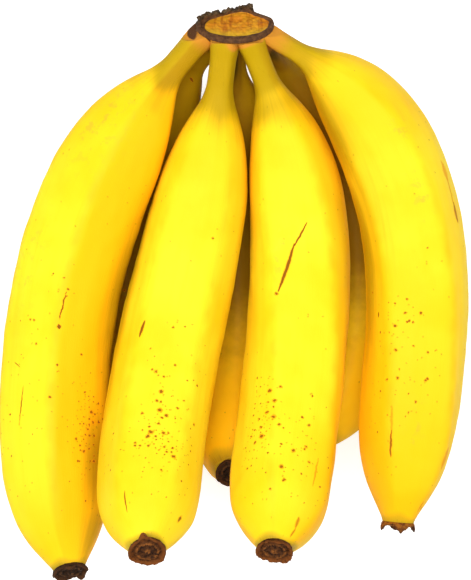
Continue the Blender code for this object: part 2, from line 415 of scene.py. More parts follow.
def make_peel_group():
    """The colour, roughness and relief of ripe peel. Crest is 1 on the ridges, Olive on the neck
    and on painted shade in olive where a side turns under its neighbour, Tip round the blossom end,
    Root at the crown, Freckle where brown dots gather, Spot in larger ones, Mark in scratches and
    bruises, Smudge on greyed patches, and Stain on painted shade where fruits lie against each other.
    Warmth turns the yellow to orange, partly as the peel's own hue and partly as painted shade on
    faces turned from the light. Place is in mm, and Skin is in mm round and along."""
    group, given, out = new_group(
        "peel",
        "Place Skin",
        "Crest Olive Tip Root Freckle Spot Mark Smudge Stain Warmth",
        {"Color": "Color", "Roughness": "Float", "Height": "Float"},
    )
    where, skin = given["Place"], given["Skin"]
    # The ground: clouds of lemon and gold, fibres, worn ridges and greyed patches
    cloud = noise(group, where, 0.035, 3.0)
    lengthwise = noise(group, vector(group, "MULTIPLY", skin, (0.30, 0.012, 1)), 1.0, 3.0, 0.6)
    fibres = noise(group, vector(group, "MULTIPLY", skin, (2.6, 0.10, 1)), 1.0, 4.0, 0.6)
    colour = tinted(group, PEEL_LEMON, PEEL_GOLD, cloud, 0.35, 0.70)
    colour = tinted(group, colour, PEEL_GOLD, lengthwise, 0.45, 0.75, 0.45)
    colour = tinted(group, colour, PEEL_AMBER, fibres, 0.5, 0.8, 0.10)
    # This warmth mix is partly painted shade on faces turned from the light.
    colour = mix(group, given["Warmth"], colour, PEEL_ORANGE)
    worn = product(group, given["Crest"], ease(group, noise(group, where, 0.09, 2.0), 0.35, 0.65))
    colour = mix(group, product(group, worn, 0.35), colour, PEEL_AMBER)
    greyed = ease(group, noise(group, where, 0.32, 4.0, 0.65), 0.5, 0.66)
    greyed = product(group, given["Smudge"], greyed)
    colour = mix(group, product(group, greyed, 0.55), colour, PEEL_SMUDGE)

    # The tints of the two ends, and the painted shade on the flanks and between the fruits
    neck = mix(group, given["Warmth"], NECK_OLIVE, NECK_BROWN)
    olive = frayed(group, given["Olive"], lengthwise, 0.5)
    colour = tinted(group, colour, neck, olive, 0.12, 0.95)
    # Painted shade where the fruits lie in each other's shadow: brown, and nearly black next to the
    # crown.
    stain = frayed(group, given["Stain"], noise(group, where, 0.12, 4.0, 0.6), 0.5)
    colour = tinted(group, colour, GAP_SHADE_BROWN, stain, 0.10, 0.75, 0.92)
    colour = tinted(group, colour, GAP_SHADE_DARK, given["Stain"], 1.0, 1.6, 0.85)
    tip = frayed(group, given["Tip"], fibres, 0.3)
    colour = tinted(group, colour, TIP_OLIVE, tip, 0.30, 1.05, 0.70)
    colour = tinted(group, colour, TIP_BROWN, tip, 0.92, 1.15, 0.80)
    root = frayed(group, given["Root"], fibres, 0.7)
    colour = tinted(group, colour, ROOT_ORANGE, root, 0.10, 0.65)
    colour = tinted(group, colour, ROOT_BROWN, root, 0.90, 1.20)

    # Scattered brown dots with the larger spots, small olive dots, and marks
    jitter = noise(group, skin, 1.3, 1.0, output="Color")
    shaken = vector(group, "ADD", skin, vector(group, "MULTIPLY", jitter, (0.7, 0.7, 0)))
    gap, chance, size = cells(group, shaken, 0.46)
    spots = calculate(group, "LESS_THAN", chance, given["Freckle"])
    reach = calculate(group, "MULTIPLY_ADD", product(group, size, size), 0.24, 0.13)
    within = ease(group, calculate(group, "DIVIDE", gap, reach), 1.0, 0.30)
    spots = calculate(group, "MAXIMUM", product(group, spots, within), given["Spot"])
    gap, chance, _ = cells(group, vector(group, "ADD", shaken, (31, 17, 0)), 0.55)
    sparse = calculate(group, "MULTIPLY_ADD", given["Freckle"], 0.80, 0.02)
    dots = calculate(group, "LESS_THAN", chance, sparse)
    within = ease(group, calculate(group, "DIVIDE", gap, 0.26), 1.0, 0.2)
    dots = product(group, dots, within)
    colour = mix(group, product(group, dots, 0.65), colour, DOT_OLIVE)
    colour = tinted(group, colour, SPOT_ORANGE, spots, 0.0, 0.5, 0.70)
    colour = tinted(group, colour, SPOT_BROWN, spots, 0.55, 1.0, 0.85)
    colour = tinted(group, colour, SPOT_ORANGE, given["Mark"], 0.0, 0.55, 0.70)
    colour = tinted(group, colour, SPOT_BROWN, given["Mark"], 0.45, 0.95, 0.92)
    group.links.new(colour, out["Color"])

    # Dry places are rougher, and the fibres of the neck stand out
    dry = calculate(group, "MAXIMUM", spots, calculate(group, "MAXIMUM", given["Mark"], root))
    rough = calculate(group, "MULTIPLY_ADD", fibres, 0.16, 0.40)
    rough = calculate(group, "MULTIPLY_ADD", dry, 0.25, rough)
    group.links.new(rough, out["Roughness"])

    pores = noise(group, where, 1.6, 2.0)
    height = calculate(group, "MULTIPLY_ADD", fibres, 0.10, product(group, pores, 0.04))
    ribs = product(group, given["Olive"], fibres)
    height = calculate(group, "MULTIPLY_ADD", ribs, 0.25, height)
    height = calculate(group, "MULTIPLY_ADD", spots, -0.05, height)
    height = calculate(group, "MULTIPLY_ADD", given["Mark"], -0.08, height)
    group.links.new(height, out["Height"])
    return group


PEEL_LEMON = (0.940, 0.690, 0.018, 1)
PEEL_GOLD = (0.930, 0.590, 0.007, 1)
PEEL_AMBER = (0.820, 0.380, 0.005, 1)
PEEL_ORANGE = (0.960, 0.490, 0.004, 1)
PEEL_SMUDGE = (0.480, 0.360, 0.030, 1)
NECK_OLIVE = (0.500, 0.335, 0.003, 1)
NECK_BROWN = (0.440, 0.245, 0.003, 1)
# The next two are the painted shade in the gaps between fruits, brown and nearly black.
GAP_SHADE_BROWN = (0.270, 0.130, 0.003, 1)
GAP_SHADE_DARK = (0.075, 0.050, 0.004, 1)
TIP_OLIVE = (0.360, 0.250, 0.010, 1)
TIP_BROWN = (0.130, 0.060, 0.015, 1)
ROOT_ORANGE = (0.620, 0.250, 0.025, 1)
ROOT_BROWN = (0.090, 0.035, 0.012, 1)
DOT_OLIVE = (0.300, 0.200, 0.003, 1)
SPOT_ORANGE = (0.820, 0.285, 0.004, 1)
SPOT_BROWN = (0.190, 0.055, 0.003, 1)

# The dried blossom ends' colours. The walls of the one called rust are lighter than its rim.
DriedFinish = namedtuple("DriedFinish", "hollow wall swirl rim")
DRIED_FINISHES = {
    "brown": DriedFinish(
        hollow=(0.018, 0.006, 0.002, 1),
        wall=(0.075, 0.024, 0.005, 1),
        swirl=(0.230, 0.075, 0.012, 1),
        rim=(0.160, 0.045, 0.006, 1),
    ),
    "rust": DriedFinish(
        hollow=(0.110, 0.030, 0.005, 1),
        wall=(0.340, 0.115, 0.008, 1),
        swirl=(0.230, 0.075, 0.012, 1),
        rim=(0.050, 0.014, 0.004, 1),
    ),
    "dark": DriedFinish(
        hollow=(0.010, 0.005, 0.002, 1),
        wall=(0.035, 0.014, 0.005, 1),
        swirl=(0.110, 0.045, 0.014, 1),
        rim=(0.065, 0.024, 0.007, 1),
    ),
}

CUT_ORANGE = (0.500, 0.165, 0.005, 1)
CUT_TAN = (0.560, 0.235, 0.009, 1)
CUT_RUST = (0.280, 0.065, 0.003, 1)
CUT_GREEN = (0.480, 0.330, 0.015, 1)
CUT_DARK = (0.120, 0.040, 0.008, 1)
BAND_DARK = (0.055, 0.022, 0.008, 1)
BAND_BROWN = (0.130, 0.055, 0.018, 1)
CRUST_DARK = (0.018, 0.010, 0.005, 1)
CRUST_BROWN = (0.130, 0.075, 0.030, 1)

# Patches where brown dots gather: station (mm), angle round the fruit from its top (degrees),
# half length and half width (mm) and how dense they are.
FRECKLES = {
    "inner_1": [(157, 42, 15, 6, 0.75), (135, -20, 30, 9, 0.10)],
    "inner_2": [(140, 2, 13, 4, 0.60), (156, 10, 12, 9, 0.80), (125, 18, 12, 9, 0.12)],
    "inner_3": [(148, -35, 13, 5, 0.85), (160, 0, 17, 11, 0.28)],
    "inner_4": [(140, -15, 22, 9, 0.22), (128, -28, 10, 4, 0.28)],
    "outer_1": [(120, 0, 25, 10, 0.15)],
    "outer_2": [(110, -120, 30, 12, 0.15)],
    "outer_3": [(120, 110, 20, 10, 0.25)],
}
# Faint greyed patches, as the same numbers.
SMUDGES = {
    "inner_1": [(42, -35, 16, 12, 1.0), (98, -50, 18, 6, 0.7)],
    "inner_3": [(80, -22, 9, 3, 1.0)],
    "inner_4": [(57, 21, 4, 4, 1.0), (80, 14, 9, 3, 1.0), (163, 4, 8, 3, 0.8)],
    "outer_1": [(90, -120, 40, 14, 0.8)],
    "outer_2": [(90, 160, 40, 14, 0.8)],
    "outer_3": [(90, 130, 40, 14, 0.8)],
}
# Painted shade, brown and nearly black next to the crown, where the two rows lie against each other and
# shade each other.
GAP_SHADE = {
    "outer_1": [(24, 10, 26, 16, 0.32), (95, 0, 50, 14, 1.15)],
    "outer_2": [(70, 0, 60, 18, 1.00), (8, 0, 15, 12, 1.9)],
    "outer_3": [(68, 0, 56, 18, 1.15), (6, 0, 12, 12, 1.6)],
}
# Painted shade in olive, where a fruit's side turns under its neighbour.
CREASE_SHADE = {
    "inner_1": [(108, 79, 60, 9, 0.95), (172, 54, 26, 8, 0.80), (199, 60, 15, 9, 0.75)],
    "inner_2": [(98, -86, 52, 6, 0.70)],
    "inner_4": [(42, -64, 34, 12, 0.85), (98, -78, 46, 9, 0.75), (72, -52, 44, 14, 0.50)],
}
# Larger brown spots: station (mm), angle (degrees) and size (mm).
SPOTS = {
    "inner_1": [
        (151, 48, 1.0), (155, 50, 0.9), (158, 43, 0.7), (155, 58, 0.8), (162, 28, 0.8), (167, 37, 0.9),
        (166, 44, 0.6), (171, 50, 0.9), (171, 29, 0.7), (117, -32, 0.5), (187, 39, 0.6), (103, 5, 0.6),
        (10, -84, 1.3),
    ],
    "inner_2": [
        (134, 3, 1.1), (142, 5, 1.2), (144, 13, 1.0), (152, -1, 1.2), (154, -4, 1.0), (152, 13, 0.9),
        (162, 27, 1.0), (126, -7, 0.8), (138, 0, 0.8), (144, -14, 0.8), (140, 24, 0.7), (148, 6, 0.7),
        (144, 48, 0.8), (157, -17, 0.7), (107, 2, 0.6), (122, 13, 0.6), (69, 25, 0.6), (182.3, 69, 1.4),
    ],
    "inner_3": [
        (136, -28, 1.1), (140, -21, 1.0), (147, -20, 1.1), (155, -32, 1.3), (160, 6, 1.0),
        (168, -5, 1.1), (134, -16, 0.8), (145, -29, 0.8), (150, -13, 0.8), (151, -34, 0.8),
        (157, -41, 0.8), (157, 21, 0.8), (148, 21, 0.8), (136, 21, 0.6), (163, 27, 0.7),
        (173, 0, 0.8), (96, -28, 0.9),
    ],
    "inner_4": [
        (122, -19, 0.7), (122, -1, 0.7), (125, -14, 0.6), (127, -29, 0.8), (136, -27, 0.8),
        (134, -8, 0.6), (136, 9, 0.6), (146, -23, 0.7), (147, -35, 0.7), (146, 9, 0.7),
        (154, 0, 0.6), (158, -7, 0.6), (192, 56, 0.9),
    ],
}
# How warm a yellow each of the five faces between the ridges has: first the one to the right of
# the ridge that Fruit.ridge turns, then on round. The warmth is partly the peel's own hue and
# partly painted shade on faces turned from the light or towards a neighbour.
FACE_WARMTH_AND_SHADE = {
    "inner_1": (1.00, 0.75, 0.40, 0.05, 0.00),
    "inner_2": (0.00, 0.20, 0.40, 0.00, 0.12),
    "inner_3": (0.28, 0.35, 0.40, 0.05, 0.00),
    "inner_4": (0.00, 0.20, 0.50, 0.45, 0.16),
    "outer_1": (0.40,) * 5,
    "outer_2": (0.70,) * 5,
    "outer_3": (0.25,) * 5,
}
# Patches of a warmer yellow, partly painted shade where a side lies towards a neighbour.
GOLDEN_AND_SHADE = {
    "inner_1": [(202, 15, 24, 22, 0.60)],
    "inner_3": [(172, 60, 34, 10, 0.90)],
    "inner_4": [(160, -20, 42, 26, 0.75), (196, 0, 14, 40, 0.90)],
}
# How much warmer the yellow grows near the neck, between these stations, and near the blossom
# end, between these distances from it (m).
NECK_WARMTH = 0.35
NECK_WARMTH_STATIONS = (0.078, 0.042)
TIP_WARMTH = 0.15
TIP_WARMTH_REACH = (0.050, 0.008)
FACE_EDGE = 0.11  # how much of a face, on each side of a ridge, its warmth takes to change
TINT_WANDER = 0.0025  # how far the tints' edges wander along the fruit (m)
TINT_WANDER_SIZE = 0.012
# How far the olive tint and the orange root reach down each neck, and how far its olive tip
# reaches up from the blossom end (mm). On the outer row the olive reaches far down, partly as
# painted shade where those fruits lie under the inner row.
END_TINTS = {
    "inner_1": (36, 8, 4), "inner_2": (42, 2.5, 3.5), "inner_3": (42, 2.5, 3.5), "inner_4": (36, 22, 6),
    "outer_1": (85, 5, 8), "outer_2": (100, 5, 10), "outer_3": (90, 12, 8),
}
# Scratches and bruises: stations (mm) and angles (degrees) of their two ends, half width (mm), how
# far they wander (mm) and how dark they are, from 0.5 for orange to 1 for dark brown.
Scratch = namedtuple("Scratch", "start start_angle end end_angle width wobble dark", defaults=(1.0,))
SCRATCHES = {
    "outer_1": [Scratch(19.0, 30, 20.5, 50, 1.10, 1.0)],
    "inner_1": [
        Scratch(117.0, 2, 118.4, 3, 1.3, 0.6),
        Scratch(132.2, 5, 133.0, 5, 0.8, 0.6),
        Scratch(104.0, 4, 116.0, 2, 0.45, 1.2),
        Scratch(141.0, -33, 155.5, -39, 0.40, 0.8),
        Scratch(133.0, -49, 134.5, -40, 0.30, 0.4),
    ],
    "inner_2": [
        Scratch(106.5, -30, 113.0, -32, 0.80, 0.3),
        Scratch(176.5, -27, 183.5, -30, 0.50, 0.5),
    ],
    "inner_3": [
        Scratch(68.0, 9, 77.7, -10, 0.60, 0.5),
        Scratch(76.0, -8, 95.0, -26, 1.00, 0.6),
        Scratch(184.3, 34, 187.0, 39, 1.6, 0.9, 0.72),
        Scratch(187.5, 40, 189.6, 41, 1.4, 0.9, 0.72),
        Scratch(160.0, 38, 172.0, 37, 0.60, 1.0, 0.6),
    ],
    "inner_4": [
        Scratch(156.0, -26, 167.0, -23, 0.80, 1.2, 0.55),
        Scratch(165.0, -24, 174.5, -23, 0.80, 0.8, 0.85),
        Scratch(122.2, -56, 124.0, -56, 0.75, 0.2),
        Scratch(73.5, 67, 79.0, 67, 3.00, 1.6, 0.50),
        Scratch(78.0, 66, 88.0, 66, 0.80, 1.0, 0.60),
        Scratch(86.5, 67, 92.5, 68, 2.00, 1.4, 0.75),
        # The next two are partly a brown line and partly painted contact shadow, along this neck's edge
        # where it meets the outer row.
        Scratch(2.0, -50, 9.0, -90, 1.10, 0.5),
        Scratch(9.0, -90, 32.0, -92, 0.90, 0.5),
        Scratch(169.5, 56, 176.5, 53, 3.00, 1.4, 0.50),
        Scratch(189.5, 48, 193.0, 47, 1.20, 0.8, 0.60),
    ],
}


def skin_place(angle, station, around):
    """A place on the skin in mm, from its angle (degrees), its station (mm) and the way round."""
    return ((angle + 180) / 360 * around, station, 0)


def make_peel_material(fruit, peel, scratch, spot):
    """The shared peel finish with this fruit's own scratches and larger spots."""
    material, tree, shader = new_material("peel " + fruit.name)
    around = 2 * math.pi * fruit.girth / MM
    uv = add(tree, "ShaderNodeUVMap", uv_map="skin").outputs[0]
    skin = vector(tree, "MULTIPLY", uv, (around, fruit.length / MM, 0))
    mark = 0.0
    for cut in SCRATCHES.get(fruit.name, []):
        start = skin_place(cut.start_angle, cut.start, around)
        end = skin_place(cut.end_angle, cut.end, around)
        inputs = {"Skin": skin, "Start": start, "End": end, "Width": cut.width, "Wobble": cut.wobble}
        depth = product(tree, place(tree, scratch, inputs)["Depth"], cut.dark)
        mark = calculate(tree, "MAXIMUM", mark, depth)
    dark = 0.0
    for station, angle, size in SPOTS.get(fruit.name, []):
        inputs = {"Skin": skin, "Centre": skin_place(angle, station, around), "Size": size}
        dark = calculate(tree, "MAXIMUM", dark, place(tree, spot, inputs)["Depth"])
    inputs = {"Place": places_in_mm(tree), "Skin": skin, "Mark": mark, "Spot": dark}
    for name in ("crest", "olive", "tip", "root", "freckle", "smudge", "stain", "warmth"):
        inputs[name.capitalize()] = attribute(tree, name)
    made = place(tree, peel, inputs)
    fill(tree, shader, {"Base Color": made["Color"], "Roughness": made["Roughness"]})
    fill(tree, shader, {"Specular IOR Level": 0.07, "Normal": bump(tree, made["Height"], MM, 0.55)})
    return material


def tuck_under_cut(points):
    """Presses the neck roots flat just below the cut face. The limit on their height over the
    plane of the cut rises again past the pad's edge, and slopes down where a root passes its left
    end."""
    offset = points - CUT_CENTRE
    height = offset @ CUT_OUT
    depth = offset @ CUT_FAR
    size = np.hypot(offset @ CUT_ACROSS / CUT_HALF_WIDTH, depth / CUT_HALF_DEPTH)
    past_left = np.clip(-(offset @ CUT_ACROSS) - CUT_HALF_WIDTH, 0, None)
    limit = -TUCK_DEPTH - TUCK_SLOPE * past_left + TUCK_RISE * smooth_step(*TUCK_EDGE, size)
    return points + (np.minimum(height, limit) - height)[..., None] * CUT_OUT


def patches(where, fruit, station, angle):
    """How strongly the listed patches cover each point: bells along and round the fruit."""
    total = np.zeros(np.broadcast(station, angle).shape)
    for middle, turn, length, width, density in where.get(fruit.name, []):
        across = wrapped(angle - math.radians(turn)) * fruit.girth / MM / width
        along = (station / MM - middle) / length
        total = np.maximum(total, density * np.exp(-(across**2 + along**2)))
    return total


def face_warmth_and_shade(fruit, wave):
    """The warmth at each point, partly painted shade on faces turned from the light: flat over
    each face, and straight ramps across the ridges. wave is five times the angle from the turned
    ridge, so it grows by a full turn over each face."""
    values = FACE_WARMTH_AND_SHADE[fruit.name]
    knots = [face + edge for face in range(5) for edge in (FACE_EDGE, 1 - FACE_EDGE)]
    return np.interp(wave / (2 * math.pi), knots, np.repeat(values, 2), period=5)


def peel_masks(fruit, rings, station, angle, full, wave):
    """How strongly each tint and mark covers the points of the peel. station is that of each
    ring, full is how far the body has swelled (0 to 1), and wave is as in face_warmth_and_shade."""
    wander = TINT_WANDER * ripple(rings, TINT_WANDER_SIZE, FRUITS.index(fruit) + 40)
    past_left = CUT_CENTRE[0] - CUT_HALF_WIDTH - rings[..., 0]
    dry_corner = DRY_CORNER * smooth_step(*DRY_CORNER_PAST, past_left)
    dry_corner = dry_corner * smooth_step(*DRY_CORNER_STATIONS, station)
    tip_start, tip_full = (fruit.length - reach for reach in TIP_WARMTH_REACH)
    olive_end, root_end, tip_reach = (reach * MM for reach in END_TINTS[fruit.name])
    return {
        "crest": full * np.exp(-((1 - np.cos(wave)) / CREST_WIDTH)),
        "olive": np.maximum(
            smooth_step(olive_end, 0.3 * olive_end, station + wander),
            patches(CREASE_SHADE, fruit, station, angle),
        ),
        "tip": smooth_step(fruit.length - tip_reach, fruit.length, station + 0.3 * wander),
        "root": smooth_step(root_end, -0.4 * root_end, station + 0.4 * wander) + dry_corner,
        "freckle": patches(FRECKLES, fruit, station, angle),
        "smudge": patches(SMUDGES, fruit, station, angle),
        "stain": patches(GAP_SHADE, fruit, station, angle),
        "warmth": face_warmth_and_shade(fruit, wave)
        + TIP_WARMTH * smooth_step(tip_start, tip_full, station)
        + NECK_WARMTH * smooth_step(*NECK_WARMTH_STATIONS, station)
        + patches(GOLDEN_AND_SHADE, fruit, station, angle),
    }


def add_peel(fruit, material):
    """The peel of one fruit, from inside the crown to the seat of its blossom end. The radius
    carries five ridges that turn with the twist, an angular neck, a flare at the crown and faint
    dents. Where it would pass the floor it is pressed flat."""
    share = np.linspace(0, 1, PEEL_RINGS)
    eased = share - RING_CROWDING * np.sin(2 * math.pi * share)
    body = ROOT_START + (fruit.length - ROOT_START) * eased
    start, end = np.full(len(ROOT_CAP), ROOT_START), np.full(len(SEAT_CAP), fruit.length)
    stations = np.concatenate([start, body, end])
    shrink = np.concatenate([ROOT_CAP, np.ones(PEEL_RINGS), SEAT_CAP])
    angle = np.linspace(-math.pi, math.pi, PEEL_SIDES, endpoint=False)
    points, tangents = centreline(fruit, stations)
    up, right = cross_axes(tangents)
    radii = swell(fruit, stations)
    full = np.clip((radii - fruit.neck) / (fruit.girth - fruit.neck), 0, 1)[:, None]
    turned = math.radians(fruit.ridge) + math.radians(fruit.twist) * stations[:, None] / fruit.length
    wave = 5 * (angle - turned)
    ridges = sum(height * np.cos(n * wave) for n, height in enumerate(RIDGE_WAVES, 1))
    relief = full * (ridges - RIDGE_SINK)
    faceted = np.cos(4 * angle + fruit.ridge) * NECK_WAVES[0] + np.cos(wave) * NECK_WAVES[1]
    relief = relief + (1 - full) ** 2 * faceted
    flare = NECK_FLARE * bell(np.clip(stations, 0, None), 0, FLARE_LENGTH)
    around = (radii + flare)[:, None] * (1 + relief) * shrink[:, None]
    rings = (
        points[:, None]
        + (around * np.cos(angle))[..., None] * up[:, None]
        + (around * np.sin(angle))[..., None] * right[:, None]
    )
    outwards = unit(rings - points[:, None])
    seed = FRUITS.index(fruit)
    dents = layered_ripples(rings, [(high, size, first + seed) for high, size, first in DENTS])
    rings = rings + (dents * full * shrink[:, None])[..., None] * outwards
    rings = tuck_under_cut(rings)
    rings[..., 2] = np.maximum(rings[..., 2], 0)
    masks = peel_masks(fruit, rings, stations[:, None], angle, full, wave)
    rows = stations / fruit.length
    piece = grid_mesh("peel_" + fruit.name, rings, material, masks, rows)
    face_outwards(piece)
    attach(piece, "root")
    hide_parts("banana_" + fruit.name)


# How each blossom end has dried: height of its torn lobes (m), how many and where (degrees), its
# size, how far a dried sepal lies back over the peel (m), and which of DRIED_FINISHES it has.
Dried = namedtuple("Dried", "lobe_height lobes turn size sepal finish")
DRIED_ENDS = {
    "inner_1": Dried(0.0010, 5, 20, 1.0, 0.0, "dark"),
    "inner_2": Dried(0.0004, 3, 60, 1.0, 0.0015, "brown"),
    "inner_3": Dried(0.0005, 3, 10, 1.0, 0.0, "brown"),
    "inner_4": Dried(0.0016, 4, 30, 0.94, 0.0, "rust"),
    "outer_1": Dried(0.0008, 4, 80, 1.0, 0.0, "dark"),
    "outer_2": Dried(0.0004, 3, 0, 0.84, 0.0, "dark"),
    "outer_3": Dried(0.0010, 5, 40, 1.0, 0.0, "dark"),
}
# Place and width of the bells over a cup's profile, in its share of the way: the torn rim, the
# wall that a sepal leaves from, and the two lighter rings inside.
RIM_BELL = (0.38, 0.13)
SEPAL_BELL = (0.30, 0.09)
SWIRL_BELLS = ((0.64, 0.05), (0.96, 0.05))
WRINKLE_WAVES = (3, 5, 8, 13, 21)
WRINKLE_HEIGHT = 0.045
CRUMPLES = ((0.00022, 0.0022, 0), (0.00012, 0.0009, 1))  # height (m), size (m) and seed
SEPAL_TURN = math.radians(5)
SEPAL_SPREAD = 0.28  # radians
SEPAL_SINK = 1.1  # how far the sepal bends back down over the peel, for each metre that it spreads
# Share of the way over the cup, distance past the fruit's end and radius (m): the seat, the
# flared wall, the rim, the hollow, the inner ring and the nub in the middle.
BLOSSOM_PROFILE = np.array(
    [
        (0.00, -0.0012, 0.0030),
        (0.08, -0.0002, 0.0056),
        (0.18, 0.0008, 0.0063),
        (0.28, 0.0016, 0.0065),
        (0.36, 0.0019, 0.0061),
        (0.44, 0.0013, 0.0054),
        (0.52, 0.0008, 0.0047),
        (0.60, 0.0014, 0.0040),
        (0.68, 0.0015, 0.0034),
        (0.76, 0.0008, 0.0026),
        (0.86, 0.0012, 0.0016),
        (0.93, 0.0019, 0.0009),
        (1.00, 0.0021, 0.0001),
    ]
)


def add_blossom_end(fruit, material):
    """The dried flower remnant: a wrinkled cup with torn lobes on its rim, an inner ring and a
    nub, and on some a sepal bent back over the peel. The profile is turned about the heading at
    the fruit's end and noise crumples it. The sepal is a bell of two exponentials on its wall."""
    dried = DRIED_ENDS[fruit.name]
    point, tangent = centreline(fruit, np.array([fruit.length]))
    up, right = cross_axes(tangent)
    share = np.linspace(0, 1, BLOSSOM_RINGS)
    out = np.interp(share, BLOSSOM_PROFILE[:, 0], BLOSSOM_PROFILE[:, 1])[:, None]
    radius = np.interp(share, BLOSSOM_PROFILE[:, 0], BLOSSOM_PROFILE[:, 2])[:, None]
    angle = np.linspace(0, 2 * math.pi, BLOSSOM_SIDES, endpoint=False)
    lobe = np.cos(dried.lobes * angle - math.radians(dried.turn))
    rim = bell(share, *RIM_BELL)[:, None]
    out = out + rim * dried.lobe_height * np.clip(lobe, -0.4, 1)
    sepal = dried.sepal * bell(share, *SEPAL_BELL)[:, None]
    sepal = sepal * bell(wrapped(angle + SEPAL_TURN), 0, SEPAL_SPREAD)
    out = out - SEPAL_SINK * sepal
    seed = 60 + FRUITS.index(fruit)
    draw = np.random.default_rng(seed)
    wrinkles = sum(
        draw.uniform(0.4, 1) / n * np.cos(n * angle + draw.uniform(0, 6.28))
        for n in WRINKLE_WAVES
    )
    wrinkled = WRINKLE_HEIGHT * wrinkles * smooth_step(0.04, 0.2, share)[:, None]
    radius = dried.size * radius * (1 + wrinkled + 0.05 * rim * lobe)
    radius = radius + sepal
    spokes = np.cos(angle)[:, None] * up + np.sin(angle)[:, None] * right
    rings = point + out[..., None] * tangent + radius[..., None] * spokes
    crumple = layered_ripples(rings, [(high, size, first + seed) for high, size, first in CRUMPLES])
    rings = rings + (crumple * smooth_step(0.05, 0.2, share)[:, None])[..., None] * tangent
    swirl = sum(bell(share, *place_and_width) for place_and_width in SWIRL_BELLS)[:, None]
    masks = {"edge": rim * np.ones_like(angle), "swirl": swirl * np.ones_like(angle)}
    piece = grid_mesh("blossom_end_cup_" + fruit.name, rings, material, masks)
    face_outwards(piece)
    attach(piece, "root")
    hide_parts("blossom_end_" + fruit.name)


def make_dried_material(finish):
    """Dry flower remnant: worn walls over darker hollows, a lighter swirl inside and a rim of its
    own colour, with a rough, matt surface."""
    colours = DRIED_FINISHES[finish]
    material, tree, shader = new_material("dried blossom end " + finish)
    where = places_in_mm(tree)
    grain = noise(tree, where, 0.9, 5.0, 0.65)
    worn = ease(tree, grain, 0.36, 0.60)
    colour = mix(tree, worn, colours.hollow, colours.wall)
    swirl = product(tree, attribute(tree, "swirl"), worn)
    colour = mix(tree, swirl, colour, colours.swirl)
    rim = product(tree, attribute(tree, "edge"), ease(tree, grain, 0.25, 0.50))
    colour = mix(tree, rim, colour, colours.rim)
    fill(tree, shader, {"Base Color": colour, "Roughness": 0.78, "Specular IOR Level": 0.15})
    fill(tree, shader, {"Normal": bump(tree, grain, 0.5 * MM, 0.8)})
    return material


def add_crown(material):
    """The cut pad: an oval face across the stalk's fibres, a smooth dried band along its near
    edge, a torn lip that stands up on the far side, the wall and the underside. Each ring is the
    oval times a size, moved outwards in its plane and raised, all in straight runs between the
    listed steps."""
    angle = np.linspace(0, 2 * math.pi, CROWN_SIDES, endpoint=False)
    degrees = np.degrees(angle)
    beyond = np.clip(np.sin(angle), 0, None)
    size = 1 - CUT_CORNERS * beyond * np.sin(2 * angle) ** 2
    width = CUT_HALF_WIDTH * size * np.cos(angle) + CUT_SKEW * CUT_HALF_DEPTH * beyond
    depth = CUT_HALF_DEPTH * size * np.sin(angle)
    oval = width[:, None] * CUT_ACROSS + depth[:, None] * CUT_FAR
    away = width[:, None] / CUT_HALF_WIDTH**2 * CUT_ACROSS
    away = unit(away + depth[:, None] / CUT_HALF_DEPTH**2 * CUT_FAR)

    start, end = FAR_LIP_SPAN
    standing = smooth_step(start, start + 12, degrees) * smooth_step(end, end - 14, degrees)
    lip = FAR_LIP + sum(high * bell(degrees, at, width) for at, width, high in FAR_LIP_PEAKS)
    draw = np.random.default_rng(5)
    torn = sum(
        draw.uniform(0.5, 1) / math.sqrt(n) * np.cos(n * angle + draw.uniform(0, 2 * math.pi))
        for n in TORN_WAVES
    )
    rim = NEAR_LIP + standing * (lip * (1 + TORN_SHARE * torn) - NEAR_LIP)
    flat = np.zeros_like(angle)
    wall = flat - PAD_THICKNESS
    heights = [
        flat - 0.0002, flat, flat, rim * 0.8, rim, rim * 0.75,
        flat - 0.0008, wall, wall - 0.0008, wall - 0.0010,
    ]
    left = bell(degrees, *LEFT_END)
    near_edge = np.clip(-np.sin(angle), 0, 1) ** 2
    share = np.linspace(0, 1, CROWN_RINGS)
    grow = np.interp(share, CROWN_STEPS, CROWN_SIZES)[:, None, None]
    spread = np.interp(share, CROWN_STEPS, CROWN_SPREADS)[:, None, None]
    spread = spread * (1 + 0.75 * near_edge - 0.15 * left)[:, None]
    raised = np.stack([np.interp(share, CROWN_STEPS, column) for column in np.array(heights).T], axis=1)
    rings = CUT_CENTRE + grow * oval + spread * away + raised[..., None] * CUT_OUT
    on_cut = smooth_step(0.025, -0.025, share[:, None] - 0.505 + 0.08 * left)
    on_rim = (smooth_step(0.50, 0.56, share) * smooth_step(0.84, 0.74, share))[:, None]
    crusted = on_rim * (0.08 + 0.92 * standing)
    hollows = on_cut * layered_ripples(rings, CUT_HOLLOWS)
    lumps = crusted * layered_ripples(rings, CRUST_LUMPS)
    rings = rings + (hollows + lumps)[..., None] * CUT_OUT
    rings = rings + (crusted * layered_ripples(rings, CRUST_SPREAD))[..., None] * away
    near = smooth_step(0.1, -0.8, np.sin(angle)) * smooth_step(0.22, 0.48, share)[:, None]
    masks = {"cut": on_cut, "torn": crusted, "near": near}
    piece = grid_mesh("crown_pad", rings, material, masks)
    face_outwards(piece)
    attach(piece, "root")
    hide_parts("crown")


